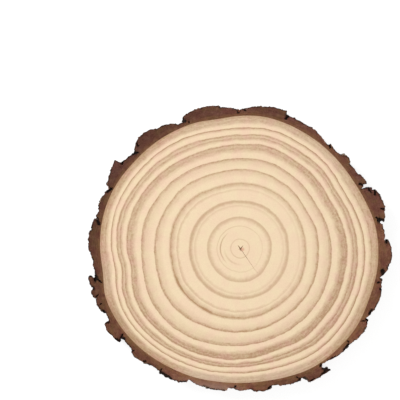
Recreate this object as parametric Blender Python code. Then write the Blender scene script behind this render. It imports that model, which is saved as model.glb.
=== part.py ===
"""A wood slice: a round cut straight across a trunk, lying flat on its lower cut face.

The pale wood is a disc with the trunk's own uneven outline. The bark grows round it as a ring of
rough plates with furrows between them. Both cut faces are flat.

Bearings are in degrees round the pith, counter-clockwise from +X, as seen from above.
"""

import math

import bmesh
import bpy
from mathutils import Vector, noise

MM = 0.001

THICKNESS = 22 * MM
SEAM = 0.3 * MM

# The pith is a little off the middle of the slice, which is over the origin.
PITH = (0.2 * MM, 0.5 * MM)

# The wood's radius from the pith, in mm, every 10 degrees from bearing 0.
WOOD_RADII = (
    108.9, 108.0, 106.0, 104.6, 104.3, 104.4, 104.6, 105.2, 105.6,
    104.6, 103.5, 105.2, 106.2, 107.3, 108.3, 110.0, 111.0, 111.4,
    111.1, 110.5, 113.4, 113.3, 112.3, 110.8, 109.4, 108.6, 107.4,
    106.9, 107.0, 108.3, 110.1, 111.0, 111.1, 110.9, 110.2, 110.0,
)

# Each row is one bark plate at the upper cut face: its first and last bearing, the bark's thickness
# in mm at the plate's start, middle and end, then the thickness left in the furrow after it, and how
# many degrees that furrow reaches under the next plate (under this one where it is negative).
BARK_PLATES = (
    (3.3, 9.8, 6.6, 6.3, 5.3, 1.6, 2.6),
    (10.5, 24.8, 7.3, 12.1, 9.5, 2.4, 0.3),
    (27.0, 32.4, 7.1, 7.6, 5.6, 5.0, 0.0),
    (32.6, 37.6, 5.3, 5.3, 4.9, 4.7, 0.0),
    (37.9, 42.2, 6.0, 7.1, 5.0, 3.8, 0.0),
    (42.5, 49.5, 4.0, 3.6, 5.0, 2.4, -0.4),
    (50.0, 57.0, 2.7, 4.2, 5.6, 5.2, 0.0),
    (57.3, 70.4, 5.8, 6.2, 6.1, 5.0, 0.5),
    (71.0, 90.2, 9.4, 8.0, 5.0, 2.3, -0.6),
    (91.6, 97.8, 5.8, 7.3, 8.8, 8.0, 0.0),
    (98.2, 113.2, 10.3, 10.9, 8.0, 3.4, 0.0),
    (117.3, 124.6, 4.9, 7.7, 8.7, 8.1, 0.0),
    (125.0, 137.2, 8.8, 11.3, 6.4, 2.1, -0.8),
    (138.6, 144.2, 5.5, 5.7, 7.0, 5.9, 0.0),
    (144.8, 154.4, 12.3, 9.2, 5.5, 2.3, 0.4),
    (156.4, 165.2, 3.8, 5.4, 4.3, 3.9, 0.0),
    (165.6, 167.6, 4.5, 4.9, 5.2, 2.6, 1.2),
    (168.3, 181.0, 6.2, 8.6, 8.8, 7.3, 0.0),
    (181.4, 189.2, 7.7, 6.6, 6.5, 2.8, 3.4),
    (190.2, 195.0, 10.0, 11.0, 8.9, 8.1, 0.0),
    (195.5, 199.0, 9.3, 10.3, 7.2, 6.9, 0.0),
    (199.4, 205.4, 8.0, 8.0, 5.3, 4.2, 0.0),
    (205.8, 208.6, 4.3, 4.9, 5.1, 5.0, 0.0),
    (209.1, 217.6, 9.9, 10.1, 9.4, 1.9, -1.3),
    (218.7, 223.0, 4.7, 5.2, 5.3, 5.0, 0.0),
    (223.4, 230.2, 6.9, 8.3, 6.8, 5.9, 0.0),
    (230.6, 236.3, 6.1, 5.8, 6.5, 5.9, 0.0),
    (236.8, 248.2, 7.9, 8.1, 5.6, 2.7, 0.3),
    (248.9, 256.4, 2.9, 4.6, 5.3, 5.2, 0.0),
    (256.8, 264.6, 6.2, 6.4, 5.7, 3.7, 0.0),
    (267.6, 274.5, 5.1, 5.5, 5.1, 4.9, 0.0),
    (274.9, 282.8, 6.7, 7.3, 6.2, 3.7, 0.0),
    (286.0, 294.8, 5.3, 6.1, 5.9, 3.9, 0.0),
    (297.2, 306.4, 9.3, 9.4, 8.4, 1.2, -2.9),
    (307.4, 319.0, 1.6, 3.8, 4.1, 3.9, 0.0),
    (319.5, 330.0, 4.3, 6.7, 5.5, 1.2, -0.3),
    (331.5, 344.6, 3.1, 6.8, 5.6, 1.7, 0.4),
    (345.8, 348.2, 4.7, 5.2, 4.8, 3.6, 0.0),
    (349.4, 362.8, 4.9, 10.3, 10.4, 5.8, 0.0),
)

# A furrow wider than this has a floor; a narrower one is a plain notch.
NOTCH_DEGREES = 1.6
FURROW_BANK_DEGREES = 0.35

# The plates wander sideways and lose some thickness on the way down from the upper cut face.
WANDER_DEGREES = 3.6
WANDER_WAVE_DEGREES = 40
WANDER_WAVE_DOWN = 26 * MM
THINNING_SHARE = 0.5
THINNING_WAVE_DOWN = 14 * MM
THINNING_SEED = (3.7, 1.3)

# Scales roughen the plates. The roughness fades out where the bark is thin.
SCALE_DEPTH = 0.7 * MM
SCALE_SPACING = 5 * MM
FULL_ROUGHNESS_BARK = 4 * MM

WOOD_SIDES = 144
PLATE_STEP_DEGREES = 1.6
BARK_LEVELS = 8

WOOD_COLOUR = (0.86, 0.70, 0.48, 1)
BARK_COLOUR = (0.145, 0.075, 0.052, 1)


def clear_scene():
    for found in list(bpy.data.objects):
        bpy.data.objects.remove(found, do_unlink=True)


def wood_radius(bearing):
    """The wood's radius at a bearing, on a smooth closed curve through WOOD_RADII."""
    count = len(WOOD_RADII)
    place = (bearing % 360) / 360 * count
    first = int(place)
    t = place - first
    a, b, c, d = (WOOD_RADII[(first + k) % count] for k in (-1, 0, 1, 2))
    curve = b + 0.5 * t * (c - a + t * (2 * a - 5 * b + 4 * c - d + t * (3 * (b - c) + d - a)))
    return curve * MM


def on_plan(bearing, radius):
    angle = math.radians(bearing)
    return Vector(PITH) + radius * Vector((math.cos(angle), math.sin(angle)))


def wander(bearing, drop):
    """How many degrees a furrow at this bearing has moved, at a depth of drop below the upper face."""
    turn = math.radians(bearing)
    size = 360 / WANDER_WAVE_DEGREES / math.tau
    across = Vector((size * math.cos(turn), size * math.sin(turn), 0))
    down = Vector((0, 0, drop / WANDER_WAVE_DOWN))
    return WANDER_DEGREES * (noise.noise(across + down) - noise.noise(across))


def thinning(plate, drop):
    """The share of its thickness that plate number plate has lost at that depth."""
    across = Vector((THINNING_SEED[0] * plate, THINNING_SEED[1], 0))
    down = Vector((0, 0, drop / THINNING_WAVE_DOWN))
    return THINNING_SHARE * abs(noise.noise(across + down) - noise.noise(across))


def along_plate(start, middle, end, share):
    """The thickness at a share of a plate's width, on the parabola through its three thicknesses."""
    return start + share * (4 * middle - 3 * start - end) + 2 * share**2 * (start + end - 2 * middle)


def plate_profile(plate, drop):
    """The edge of plate number plate at one depth, as (bearing, thickness) points."""
    first, last, start, middle, end = BARK_PLATES[plate][:5]
    kept = 1 - thinning(plate, drop)
    steps = max(2, round((last - first) / PLATE_STEP_DEGREES))
    points = []
    for step in range(steps + 1):
        share = step / steps
        thickness = along_plate(start, middle, end, share) * kept
        points.append((first + share * (last - first), thickness * MM))
    return points


def furrow_profile(plate, edge, far_edge):
    """The furrow after plate number plate, between the (bearing, thickness) points at its two edges.

    It is a notch, or it has a flat floor, or it undercuts the plate on the side that it reaches to.
    """
    floor, reach = BARK_PLATES[plate][5:]
    floor *= MM
    middle = (edge[0] + far_edge[0]) / 2
    if reach > 0:
        return [(middle + reach / 2, floor), (middle + reach, (floor + far_edge[1]) / 2)]
    if reach < 0:
        return [(middle + reach, (floor + edge[1]) / 2), (middle + reach / 2, floor)]
    if far_edge[0] - edge[0] < NOTCH_DEGREES:
        return [(middle, floor)]
    return [(edge[0] + FURROW_BANK_DEGREES, floor), (far_edge[0] - FURROW_BANK_DEGREES, floor)]


def bark_profile(drop):
    """The bark's edge at one depth, as (bearing, thickness) points. Each depth has as many points."""
    plates = [plate_profile(plate, drop) for plate in range(len(BARK_PLATES))]
    points = []
    for plate, edge in enumerate(plates):
        far_bearing, far_thickness = plates[(plate + 1) % len(plates)][0]
        far_bearing += 360 if far_bearing < edge[-1][0] else 0
        points += edge + furrow_profile(plate, edge[-1], (far_bearing, far_thickness))
    return [(bearing + wander(bearing, drop), thickness) for bearing, thickness in points]


def roughened(point, thickness, height):
    """A point of the bark's edge, pushed about by the scales."""
    where = Vector((point.x, point.y, height)) / SCALE_SPACING
    push = noise.noise_vector(where).to_2d()
    return point + push * SCALE_DEPTH * min(1, thickness / FULL_ROUGHNESS_BARK) ** 2


def bark_loop(height):
    """The bark's outer edge at a height, as points on the plan."""
    loop = []
    for bearing, thickness in bark_profile(THICKNESS - height):
        point = on_plan(bearing, wood_radius(bearing) + thickness)
        loop.append(roughened(point, thickness, height))
    return loop


def wood_loop(gap=0.0):
    """The wood's outline, drawn in by a gap."""
    bearings = [360 * side / WOOD_SIDES for side in range(WOOD_SIDES)]
    return [on_plan(bearing, wood_radius(bearing) - gap) for bearing in bearings]


def ring_of_verts(bm, loop, height):
    return [bm.verts.new((point.x, point.y, height)) for point in loop]


def wall_between(bm, lower, upper):
    count = len(lower)
    for i in range(count):
        j = (i + 1) % count
        bm.faces.new((lower[i], lower[j], upper[j], upper[i]))


def edges_round(bm, ring):
    return [bm.edges.get((ring[i - 1], ring[i])) for i in range(len(ring))]


def finished_object(name, bm, material):
    bmesh.ops.recalc_face_normals(bm, faces=bm.faces)
    mesh = bpy.data.meshes.new(name)
    bm.to_mesh(mesh)
    bm.free()
    mesh.materials.append(material)
    made = bpy.data.objects.new(name, mesh)
    bpy.context.scene.collection.objects.link(made)
    return made


def plain_material(name, colour, roughness):
    material = bpy.data.materials.new(name)
    material.use_nodes = True
    shader = material.node_tree.nodes["Principled BSDF"]
    shader.inputs["Base Color"].default_value = colour
    shader.inputs["Roughness"].default_value = roughness
    shader.inputs["Metallic"].default_value = 0
    return material


def make_wood_disc():
    """The wood, from cut face to cut face."""
    bm = bmesh.new()
    loop = wood_loop(SEAM)
    lower = ring_of_verts(bm, loop, 0)
    upper = ring_of_verts(bm, loop, THICKNESS)
    wall_between(bm, lower, upper)
    bm.faces.new(lower)
    bm.faces.new(upper)
    return finished_object("wood_disc", bm, plain_material("wood", WOOD_COLOUR, 0.6))


def make_bark_ring():
    """The bark: plates and furrows outside, the wood's outline inside, and two flat cut faces."""
    bm = bmesh.new()
    heights = [THICKNESS * level / (BARK_LEVELS - 1) for level in range(BARK_LEVELS)]
    outer = [ring_of_verts(bm, bark_loop(height), height) for height in heights]
    for lower, upper in zip(outer, outer[1:]):
        wall_between(bm, lower, upper)
    inner = [ring_of_verts(bm, wood_loop(), height) for height in (0, THICKNESS)]
    wall_between(bm, *inner)
    for outside, inside in ((outer[0], inner[0]), (outer[-1], inner[1])):
        rim = edges_round(bm, outside) + edges_round(bm, inside)
        bmesh.ops.triangle_fill(bm, edges=rim, use_beauty=True)
    bmesh.ops.triangulate(bm, faces=[face for face in bm.faces if len(face.verts) > 3])
    return finished_object("bark_ring", bm, plain_material("bark", BARK_COLOUR, 0.9))


clear_scene()
make_wood_disc()
make_bark_ring()
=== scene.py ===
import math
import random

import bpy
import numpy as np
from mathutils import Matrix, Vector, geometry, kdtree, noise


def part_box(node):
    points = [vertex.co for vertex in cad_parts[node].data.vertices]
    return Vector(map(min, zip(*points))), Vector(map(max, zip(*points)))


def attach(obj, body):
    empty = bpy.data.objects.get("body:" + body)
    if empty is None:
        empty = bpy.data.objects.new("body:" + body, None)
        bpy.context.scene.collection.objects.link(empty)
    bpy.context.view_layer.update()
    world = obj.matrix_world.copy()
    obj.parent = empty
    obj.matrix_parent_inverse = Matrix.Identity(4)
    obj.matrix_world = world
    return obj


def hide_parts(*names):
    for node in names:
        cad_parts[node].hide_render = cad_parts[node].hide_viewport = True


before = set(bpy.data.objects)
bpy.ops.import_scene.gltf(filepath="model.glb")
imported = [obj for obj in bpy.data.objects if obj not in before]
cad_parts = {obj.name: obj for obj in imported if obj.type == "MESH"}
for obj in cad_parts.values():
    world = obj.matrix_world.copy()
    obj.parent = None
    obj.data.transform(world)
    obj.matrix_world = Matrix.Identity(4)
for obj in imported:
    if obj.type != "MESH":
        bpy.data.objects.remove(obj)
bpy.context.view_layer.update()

# A wood slice lying flat on a pale floor, seen from straight above.
#
# The wood is one mesh, with the drying check and the pith's small checks cut into both faces and with
# its growth rings as a smooth field of ages that its material reads. The bark is one mesh too: the
# plates and furrows of the solid, with scales, cracks and chips on them.
#
# Lengths are in mm until a mesh is made, which turns them into metres. Bearings are in degrees round
# the pith, counter-clockwise from +X, as seen from above.

MM = 0.001
SLICE_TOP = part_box("wood_disc")[1].z / MM
PITH = np.array((0.2, 0.5))


def every(step, values):
    """(bearing, value) pairs, a step apart from bearing 0."""
    return tuple((step * place, value) for place, value in enumerate(values))


# The wood's radius from the pith, in mm, every 10 degrees from bearing 0.
WOOD_EDGE = every(10, (
    108.9, 108.0, 106.0, 104.6, 104.3, 104.4, 104.6, 105.2, 105.6,
    104.6, 103.5, 105.2, 106.2, 107.3, 108.3, 110.0, 111.0, 111.4,
    111.1, 110.5, 113.4, 113.3, 112.3, 110.8, 109.4, 108.6, 107.4,
    106.9, 107.0, 108.3, 110.1, 111.0, 111.1, 110.9, 110.2, 110.0,
))

# How far the bark grows in over that edge, in mm, by bearing.
BARK_INSET = (
    (0, 0.0), (14, 0.2), (30, 0.7), (60, 0.5), (95, 0.1), (125, 0.1), (145, 0.45), (160, 0.2),
    (175, 0.4), (200, 0.3), (230, 0.0), (258, 0.55), (285, 0.35), (302, 0.2), (315, 0.6), (324, 0.3),
    (337, 1.0), (352, 0.5),
)

# The outer edge of each growth ring from the pith outwards, as seen in the photograph: its radius in
# the photograph's pixels at each bearing where the ring bends. Noise makes it wobble a little more.
RING_EDGES = (
    every(30, (
        31.5, 31.5, 31, 31.5, 32, 32.5, 33, 33, 33.5, 34, 33.5, 31.5,
    )),
    every(30, (
        48, 48, 47.5, 47, 48.5, 50, 50.5, 51, 51, 50.5, 50.5, 49,
    )),
    (
        (0, 65.5), (30, 65.5), (60, 65.5), (90, 65.2), (110, 65), (120, 66.5), (135, 69), (150, 70.5),
        (165, 70.5), (180, 70), (195, 70), (210, 72), (225, 71.5), (240, 71.5), (270, 70.5),
        (300, 69), (330, 68.5), (345, 67),
    ),
    every(15, (
        78.5, 78, 76, 77.5, 78.3, 79, 79, 79, 81, 83.5, 84, 85.5, 86, 86.5, 88.5, 88.5, 86.5, 84.8,
        84, 83.5, 82, 81.5, 81, 79.5,
    )),
    every(15, (
        91, 89.5, 87.5, 88.5, 89.7, 90.5, 89.8, 90, 92.5, 95, 97.5, 99.5, 99, 100, 103.5, 104, 102.5,
        99.5, 97.5, 96, 95.5, 95, 94, 92.5,
    )),
    (
        (0, 107), (15, 104.5), (30, 102), (45, 103.5), (60, 103.5), (75, 105.7), (90, 104),
        (105, 104), (120, 105.5), (135, 109), (150, 112), (160, 114), (180, 113.5), (190, 111),
        (200, 115), (210, 117.3), (225, 116.5), (240, 115), (255, 113), (270, 111.3), (280, 110),
        (290, 108), (305, 110.2), (320, 108.5), (330, 109), (345, 107.5),
    ),
    (
        (0, 117.2), (15, 115), (30, 112), (45, 113.8), (60, 113.8), (75, 115.5), (90, 113.5),
        (105, 114), (120, 117), (135, 119.5), (150, 122), (160, 124.5), (180, 123.5), (190, 120.5),
        (200, 125.5), (212, 127.5), (225, 126.2), (240, 123), (255, 120.8), (270, 118.8), (285, 118),
        (300, 120), (305, 121), (320, 121), (330, 120), (345, 119),
    ),
    (
        (0, 124.7), (15, 121.5), (27, 118.3), (45, 120.5), (60, 121), (75, 122.3), (90, 120.5),
        (100, 120), (110, 122), (120, 124), (135, 126.5), (150, 129), (160, 130.3), (170, 130.3),
        (180, 129), (190, 127), (200, 131), (210, 133), (225, 131.5), (240, 129), (255, 126.8),
        (270, 125), (280, 124.8), (290, 125.7), (305, 128.3), (320, 128.2), (335, 126.8),
        (350, 125.5),
    ),
)
MM_PER_PIXEL = 0.7892
WOBBLE_SIZE = 7
WOBBLE = 0.4
WOBBLE_FULL_FROM = 30
WOBBLE_ENDS = 107
WOBBLE_FADE = 3

# How much paler (above 0) or darker the outermost ring is, by bearing.
OUTER_PALE = (
    (8, 0.1), (22, 0.1), (38, 0.4), (60, 0.4), (85, 0.3), (110, 0.3), (130, -0.1), (165, 0.0),
    (180, 0.1), (195, 0.5), (208, -0.7), (222, -0.3), (238, -0.1), (252, 0.95), (272, 0.5), (292, 0.7),
    (307, 0.1), (322, -0.4), (340, -0.2), (355, -0.1),
)

# Each row is one bark plate at the upper cut face: its first and last bearing, the bark's thickness
# in mm at the plate's start, middle and end, then the thickness left in the furrow after it, and how
# many degrees that furrow reaches under the next plate (under this one where it is negative).
BARK_PLATES = (
    (4.0, 9.8, 5.5, 6.2, 5.3, 1.6, 2.6),
    (10.1, 24.8, 7.3, 12.1, 9.5, 1.6, 0.3),
    (26.7, 32.4, 7.1, 7.6, 5.6, 5.0, 0.0),
    (32.6, 37.6, 5.3, 5.3, 4.9, 4.7, 0.0),
    (37.9, 42.2, 6.0, 7.1, 5.0, 3.8, 0.0),
    (42.5, 49.5, 4.0, 3.6, 5.0, 2.4, -0.4),
    (50.0, 57.0, 2.7, 4.2, 5.6, 5.2, 0.0),
    (57.3, 70.4, 5.8, 6.2, 6.1, 5.0, 0.5),
    (71.0, 90.2, 9.4, 8.0, 5.0, 2.3, -0.6),
    (91.6, 97.8, 5.8, 7.3, 8.8, 8.0, 0.0),
    (98.2, 113.2, 10.3, 10.9, 8.0, 3.4, 0.0),
    (117.3, 124.6, 4.9, 7.7, 8.7, 8.1, 0.0),
    (125.0, 137.2, 8.8, 11.3, 6.4, 2.1, -0.8),
    (138.6, 144.2, 5.5, 5.7, 7.0, 5.9, 0.0),
    (144.8, 154.4, 12.3, 9.2, 5.5, 2.3, 0.4),
    (156.4, 165.2, 3.8, 5.4, 4.3, 3.9, 0.0),
    (165.6, 167.6, 4.5, 4.9, 5.2, 2.6, 1.2),
    (168.3, 181.0, 6.2, 8.6, 8.8, 7.3, 0.0),
    (181.4, 189.2, 7.7, 6.6, 6.5, 2.8, 3.4),
    (190.2, 195.0, 10.0, 11.0, 8.9, 8.1, 0.0),
    (195.5, 199.0, 9.3, 10.3, 7.2, 6.9, 0.0),
    (199.4, 205.4, 8.0, 8.0, 5.3, 4.2, 0.0),
    (205.8, 208.6, 4.3, 4.9, 5.1, 5.0, 0.0),
    (209.1, 218.2, 9.9, 10.2, 8.2, 2.0, -1.2),
    (218.7, 223.0, 4.7, 5.2, 5.3, 5.0, 0.0),
    (223.4, 230.2, 6.9, 8.3, 6.8, 5.9, 0.0),
    (230.6, 236.3, 6.1, 5.8, 6.5, 5.9, 0.0),
    (236.8, 248.2, 7.9, 8.1, 5.6, 2.7, 0.3),
    (248.9, 256.4, 2.9, 4.6, 5.3, 5.2, 0.0),
    (256.8, 264.6, 6.2, 6.4, 5.7, 3.7, 0.0),
    (267.6, 274.5, 5.1, 5.5, 5.1, 4.9, 0.0),
    (274.9, 282.8, 6.7, 7.3, 6.2, 3.7, 0.0),
    (286.0, 294.8, 5.3, 6.1, 5.9, 3.9, 0.0),
    (297.2, 306.6, 9.3, 9.4, 8.7, 1.0, -3.1),
    (307.4, 319.0, 1.6, 3.8, 4.1, 3.9, 0.0),
    (319.5, 331.0, 4.3, 6.7, 5.0, 2.2, -1.6),
    (331.5, 344.6, 3.1, 6.8, 5.6, 1.7, 0.4),
    (345.8, 348.2, 4.7, 5.2, 4.8, 3.6, 0.0),
    (349.4, 363.6, 4.9, 10.4, 8.4, 5.5, -2.7),
)
NOTCH_DEGREES = 1.6
FURROW_BANK_DEGREES = 0.35
WANDER_DEGREES = 3.6
WANDER_WAVE_DEGREES = 40
WANDER_WAVE_DOWN = 26
THINNING_SHARE = 0.5
THINNING_WAVE_DOWN = 14
THINNING_SEED = (3.7, 1.3)

# How finely the bark's side is cut up, along a plate, along a furrow's wall and down the side.
PLATE_STEP_DEGREES = 0.26
WALL_STEP = 0.55
BARK_LEVELS = 42

# The furrows after these plates are only a few mm deep from the cut face. The plates below it fill a
# share of them, painted with the furrow's shade, so that they look black from above.
CLOSED_FURROWS = (0, 18, 23)
CLOSED_SHARE = 1.1
CLOSED_FROM, CLOSED_BY = 1, 3.5

# The furrows at these bearings run straight down, with all within a few degrees of them.
STRAIGHT_BEARINGS = (3.4, 26.3, 217.8, 305.2, 330.6, 348.4)
STRAIGHT_REACH = 2.5

# Small teeth and gaps in the bark's edge: bearing, half width in degrees, how far out in mm, and how
# far down from the upper face before it fades.
EDGE_MARKS = (
    (14.2, 0.6, -0.8, 5),
    (24.3, 0.6, -2.4, 30),
    (26.3, 0.5, -2.4, 200),
    (172.8, 0.5, -1.4, 10),
    (191.0, 1.1, 1.2, 12),
    (255.6, 0.9, -0.9, 8),
    (266.4, 1.0, 0.6, 200),
    (284.5, 1.5, 0.9, 200),
    (295.8, 0.9, 0.7, 200),
    (306.3, 0.8, 0.5, 200),
    (345.1, 0.7, 2.4, 200),
    (348.3, 0.4, -2.4, 200),
)

# Hollows in the bark's upper cut face, where flakes lie below the saw cut, sunk and painted near-black
# as shade between them. Each is a stroke: its two ends as bearing and radius, then its half width.
HOLLOWS = (
    (10.9, 114.8, 11.6, 112.6, 1.7), (11.2, 111.5, 12.6, 110.2, 0.7), (15.2, 117.4, 15.6, 115.8, 0.9),
    (21.7, 114.6, 23.6, 116.2, 0.9), (23.2, 112.4, 24.7, 111.5, 0.8), (27.3, 108.6, 28.4, 107.0, 0.8),
    (48.9, 107.9, 48.3, 106.9, 0.9), (60.6, 110.8, 61.2, 110.4, 0.5), (69.4, 113.0, 70.6, 108.4, 1.0),
    (86.3, 112.1, 86.3, 111.6, 0.7), (88.3, 109.2, 87.7, 108.6, 0.7), (90.4, 109.0, 90.9, 107.0, 1.0),
    (98.4, 112.4, 97.5, 112.9, 0.6), (112.3, 107.2, 112.0, 107.4, 0.5), (113.6, 109.2, 115.6, 111.3, 1.2),
    (115.6, 111.3, 118.2, 112.9, 1.1), (134.6, 116.0, 135.1, 113.8, 0.5),
    (136.8, 110.4, 139.2, 113.2, 0.9), (143.4, 114.9, 144.4, 114.6, 0.9),
    (155.2, 111.8, 157.2, 114.2, 0.9), (168.2, 115.6, 170.5, 112.9, 1.1),
    (171.8, 118.0, 172.6, 118.4, 0.6), (184.2, 117.1, 185.3, 117.0, 0.7),
    (190.5, 120.0, 190.9, 117.8, 1.2), (190.6, 122.2, 190.6, 120.0, 0.6),
    (190.8, 118.2, 194.0, 112.6, 0.65), (194.8, 120.2, 195.6, 119.8, 0.7),
    (198.4, 119.8, 198.2, 117.5, 0.4), (201.6, 118.2, 202.2, 119.6, 0.4),
    (204.4, 119.0, 205.4, 118.2, 0.8), (209.3, 121.9, 209.5, 119.0, 0.6),
    (216.0, 122.0, 217.7, 119.6, 0.9), (217.1, 119.0, 216.3, 115.0, 0.65),
    (223.6, 118.7, 223.9, 116.8, 0.5), (229.6, 117.4, 230.3, 116.0, 0.5),
    (236.8, 113.5, 237.3, 115.4, 0.5), (237.4, 116.8, 241.8, 117.2, 2.0),
    (245.6, 116.2, 248.0, 113.4, 0.8), (256.6, 113.2, 259.4, 113.4, 0.6),
    (259.4, 113.4, 264.0, 112.6, 0.4), (267.9, 109.2, 268.1, 109.4, 0.8),
    (275.2, 113.5, 277.2, 113.9, 0.5), (281.2, 113.3, 282.6, 111.8, 0.8),
    (293.4, 114.6, 294.7, 113.2, 0.6), (293.8, 112.0, 293.5, 110.9, 0.5),
    (298.2, 118.7, 299.4, 118.6, 0.6), (302.4, 118.9, 304.8, 118.2, 0.9),
    (303.9, 112.8, 304.8, 111.6, 0.7), (304.8, 118.0, 306.6, 118.2, 1.5),
    (308.2, 112.6, 312.0, 114.2, 0.4), (315.6, 114.6, 318.2, 114.4, 0.9),
    (319.1, 113.2, 319.1, 112.3, 0.6), (329.1, 112.1, 329.6, 113.6, 0.5),
    (329.8, 116.2, 331.0, 115.0, 0.8), (333.2, 114.2, 334.8, 114.7, 1.1),
    (335.8, 116.8, 336.4, 117.0, 0.6), (343.4, 116.4, 343.9, 115.2, 0.8),
    (346.2, 113.3, 346.0, 111.9, 0.9), (347.3, 115.4, 347.5, 113.4, 0.4),
    (348.9, 115.4, 350.2, 116.6, 0.9), (349.2, 115.4, 351.0, 113.8, 1.8),
    (352.3, 117.8, 353.8, 118.6, 0.8),
)
HOLLOW_DEPTH = 1.8

# Smooth orange inner bark lies bare in some furrows: bearing and half width in degrees.
BARE_STRIPS = ((45.6, 2.2), (91.0, 1.2), (155.4, 1.6), (233.6, 1.8), (266.0, 1.6), (312.0, 2.4))

# Ridges run up the plates, flakes lie on them in layers, and cracks part those. A fine grain covers
# all, and the edge of the upper cut face is ragged besides.
RIDGE_SIZE = (3.6, 3.6, 26)
RIDGE_DEPTH = 1.5
FLAKE_SIZE = (7, 7, 12)
FLAKE_LAYERS = 4
FLAKE_DEPTH = 2.4
FLAKE_RISER = 0.3
TOP_EDGE_KEPT = 6
CRACK_CELL = (4, 4, 13)
CRACK_WIDTH = 0.2
CRACK_DEPTH = 0.9
GRAIN_SIZE = 1.6
GRAIN_DEPTH = 0.3
RAG_SIZE = 3.4
RAG_DEPTH = 0.6
FULL_RELIEF_BARK = 4

# The outer rim of the bark's cut faces has chips broken from it.
CHIP_SIZE = 3.5
CHIP_DEPTH = 1.1
CHIP_REACH = 1.3
ROWS_BELOW_CHIPS = 7
ROW_DROP = 0.12

# How bright the bark's cut face is and how mauve, by bearing.
BARK_TONES = (
    (4, 1.1), (17, 0.87), (33, 0.84), (50, 0.96), (60, 0.88), (66, 0.92), (76, 0.74), (84, 0.76),
    (94, 0.84), (103, 0.76), (122, 0.62), (133, 0.65), (141, 0.68), (150, 0.62), (162, 0.63),
    (176, 0.66), (187, 0.74), (199, 0.74), (212, 0.85), (221, 0.92), (231, 0.85), (242, 1.12),
    (253, 1.5), (260, 1.68), (271, 1.22), (280, 1.0), (290, 0.83), (300, 0.87), (313, 1.3),
    (326, 1.1), (340, 1.0), (355, 0.93),
)
BARK_MAUVE = (
    (0, 0.3), (12, 0.3), (20, 0.8), (29, 1.0), (40, 0.3), (52, 0.2), (67, 1.0), (80, 0.5), (95, 0.9),
    (105, 0.6), (120, 0.4), (146, 1.0), (160, 0.5), (175, 0.4), (200, 0.2), (220, 0.1), (240, 0.4),
    (255, 0.7), (264, 1.0), (272, 0.3), (300, 0.3), (320, 0.1), (340, 0.3),
)

# The drying check that runs out from near the pith, then the star of small ones there: bearing,
# length, half-width at the widest and depth.
STAR = np.array((0.45, -0.25))
CHECKS = (
    (305.0, 25, 0.17, 0.7),
    (56, 3.9, 0.6, 0.9),
    (124, 4.2, 0.6, 0.9),
    (262, 1.8, 0.5, 0.8),
    (196, 2.2, 0.2, 0.4),
)
CHECK_WANDER = 0.35
SHORT_CHECK = 5
SHORT_CHECK_STEP, LONG_CHECK_STEP = 0.35, 0.6
CHECK_STEP_PARTS = 8
CHECK_CLEARANCE = 0.7

# A knot in the bark's edge lies within this many points, and is drawn straight in rounds.
KNOT_REACH = 40
KNOT_ROUNDS = 60
KNOT_BOW = 0.01

RIM_POINTS = 720
FACE_STEP = 1.5
CAP_STEP = 0.8
SEAM = 0.02
SHARP_DEGREES = 50
PLATE_SEED = 7

# Without a seed of its own, Blender's noise takes one from the clock.
NOISE_SEED = 7


def closed_curve(pairs, bearings):
    """The radius at each bearing, on a smooth closed curve through (bearing, radius) pairs."""
    knots, values = np.array(pairs, float).T
    knots = np.concatenate([knots[-2:] - 360, knots, knots[:2] + 360])
    values = np.concatenate([values[-2:], values, values[:2]])
    slopes = np.gradient(values, knots)
    turned = np.asarray(bearings, float) % 360
    place = np.searchsorted(knots, turned, side="right") - 1
    gap = knots[place + 1] - knots[place]
    t = (turned - knots[place]) / gap
    from_start = (2 * t**3 - 3 * t**2 + 1) * values[place] + (t**3 - 2 * t**2 + t) * gap * slopes[place]
    to_end = (3 * t**2 - 2 * t**3) * values[place + 1] + (t**3 - t**2) * gap * slopes[place + 1]
    return from_start + to_end


def wood_radius(bearings):
    """The radius where the wood ends and the bark begins."""
    return closed_curve(WOOD_EDGE, bearings) - closed_curve(BARK_INSET, bearings)


def on_plan(bearings, radii):
    """The points on the plan at these bearings and radii from the pith."""
    angles = np.radians(bearings)
    return PITH + np.stack([radii * np.cos(angles), radii * np.sin(angles)], axis=-1)


def polar(points):
    """The bearing and the radius of points on the plan."""
    x, y = points[..., 0] - PITH[0], points[..., 1] - PITH[1]
    return np.degrees(np.arctan2(y, x)) % 360, np.hypot(x, y)


def heading(bearing):
    """The direction of a bearing on the plan."""
    return np.array([math.cos(math.radians(bearing)), math.sin(math.radians(bearing))])


def sampled(function, points):
    """A noise function of one position, read at many."""
    flat = np.reshape(points, (-1, 3))
    return np.array([function(Vector(point)) for point in flat]).reshape(points.shape[:-1])


def smooth_step(value, low, high):
    """0 up to low and 1 from high on, with a smooth rise between."""
    t = np.clip((value - low) / (high - low), 0, 1)
    return t * t * (3 - 2 * t)


def inside(points, loop):
    """Whether each point on the plan lies inside a closed loop."""
    crossed = np.zeros(len(points), int)
    ends = np.roll(loop, -1, axis=0)
    for (ax, ay), (bx, by) in zip(loop, ends):
        if ay == by:
            continue
        spans = (points[:, 1] > ay) != (points[:, 1] > by)
        crossed += spans & (points[:, 0] < ax + (points[:, 1] - ay) * (bx - ax) / (by - ay))
    return crossed % 2 == 1


def nearest(points, others):
    """The distance from each point to the nearest of the others, and which one that is."""
    tree = kdtree.KDTree(len(others))
    for index, (x, y) in enumerate(others):
        tree.insert((x, y, 0), index)
    tree.balance()
    found = [tree.find((x, y, 0)) for x, y in points]
    return np.array([hit[2] for hit in found]), np.array([hit[1] for hit in found])


def triangulated(points, lines):
    """A flat mesh over points, with lines between some of them kept as edges."""
    result = geometry.delaunay_2d_cdt([Vector(p) for p in points], lines, [], 0, 1e-5)
    corners = np.array([tuple(v) for v in result[0]])
    triangles = np.array(result[2])
    a, b, c = (corners[triangles[:, k]] for k in range(3))
    backward = turn(a, b, c) < 0
    triangles[backward] = triangles[backward][:, ::-1]
    return corners, triangles


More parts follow.
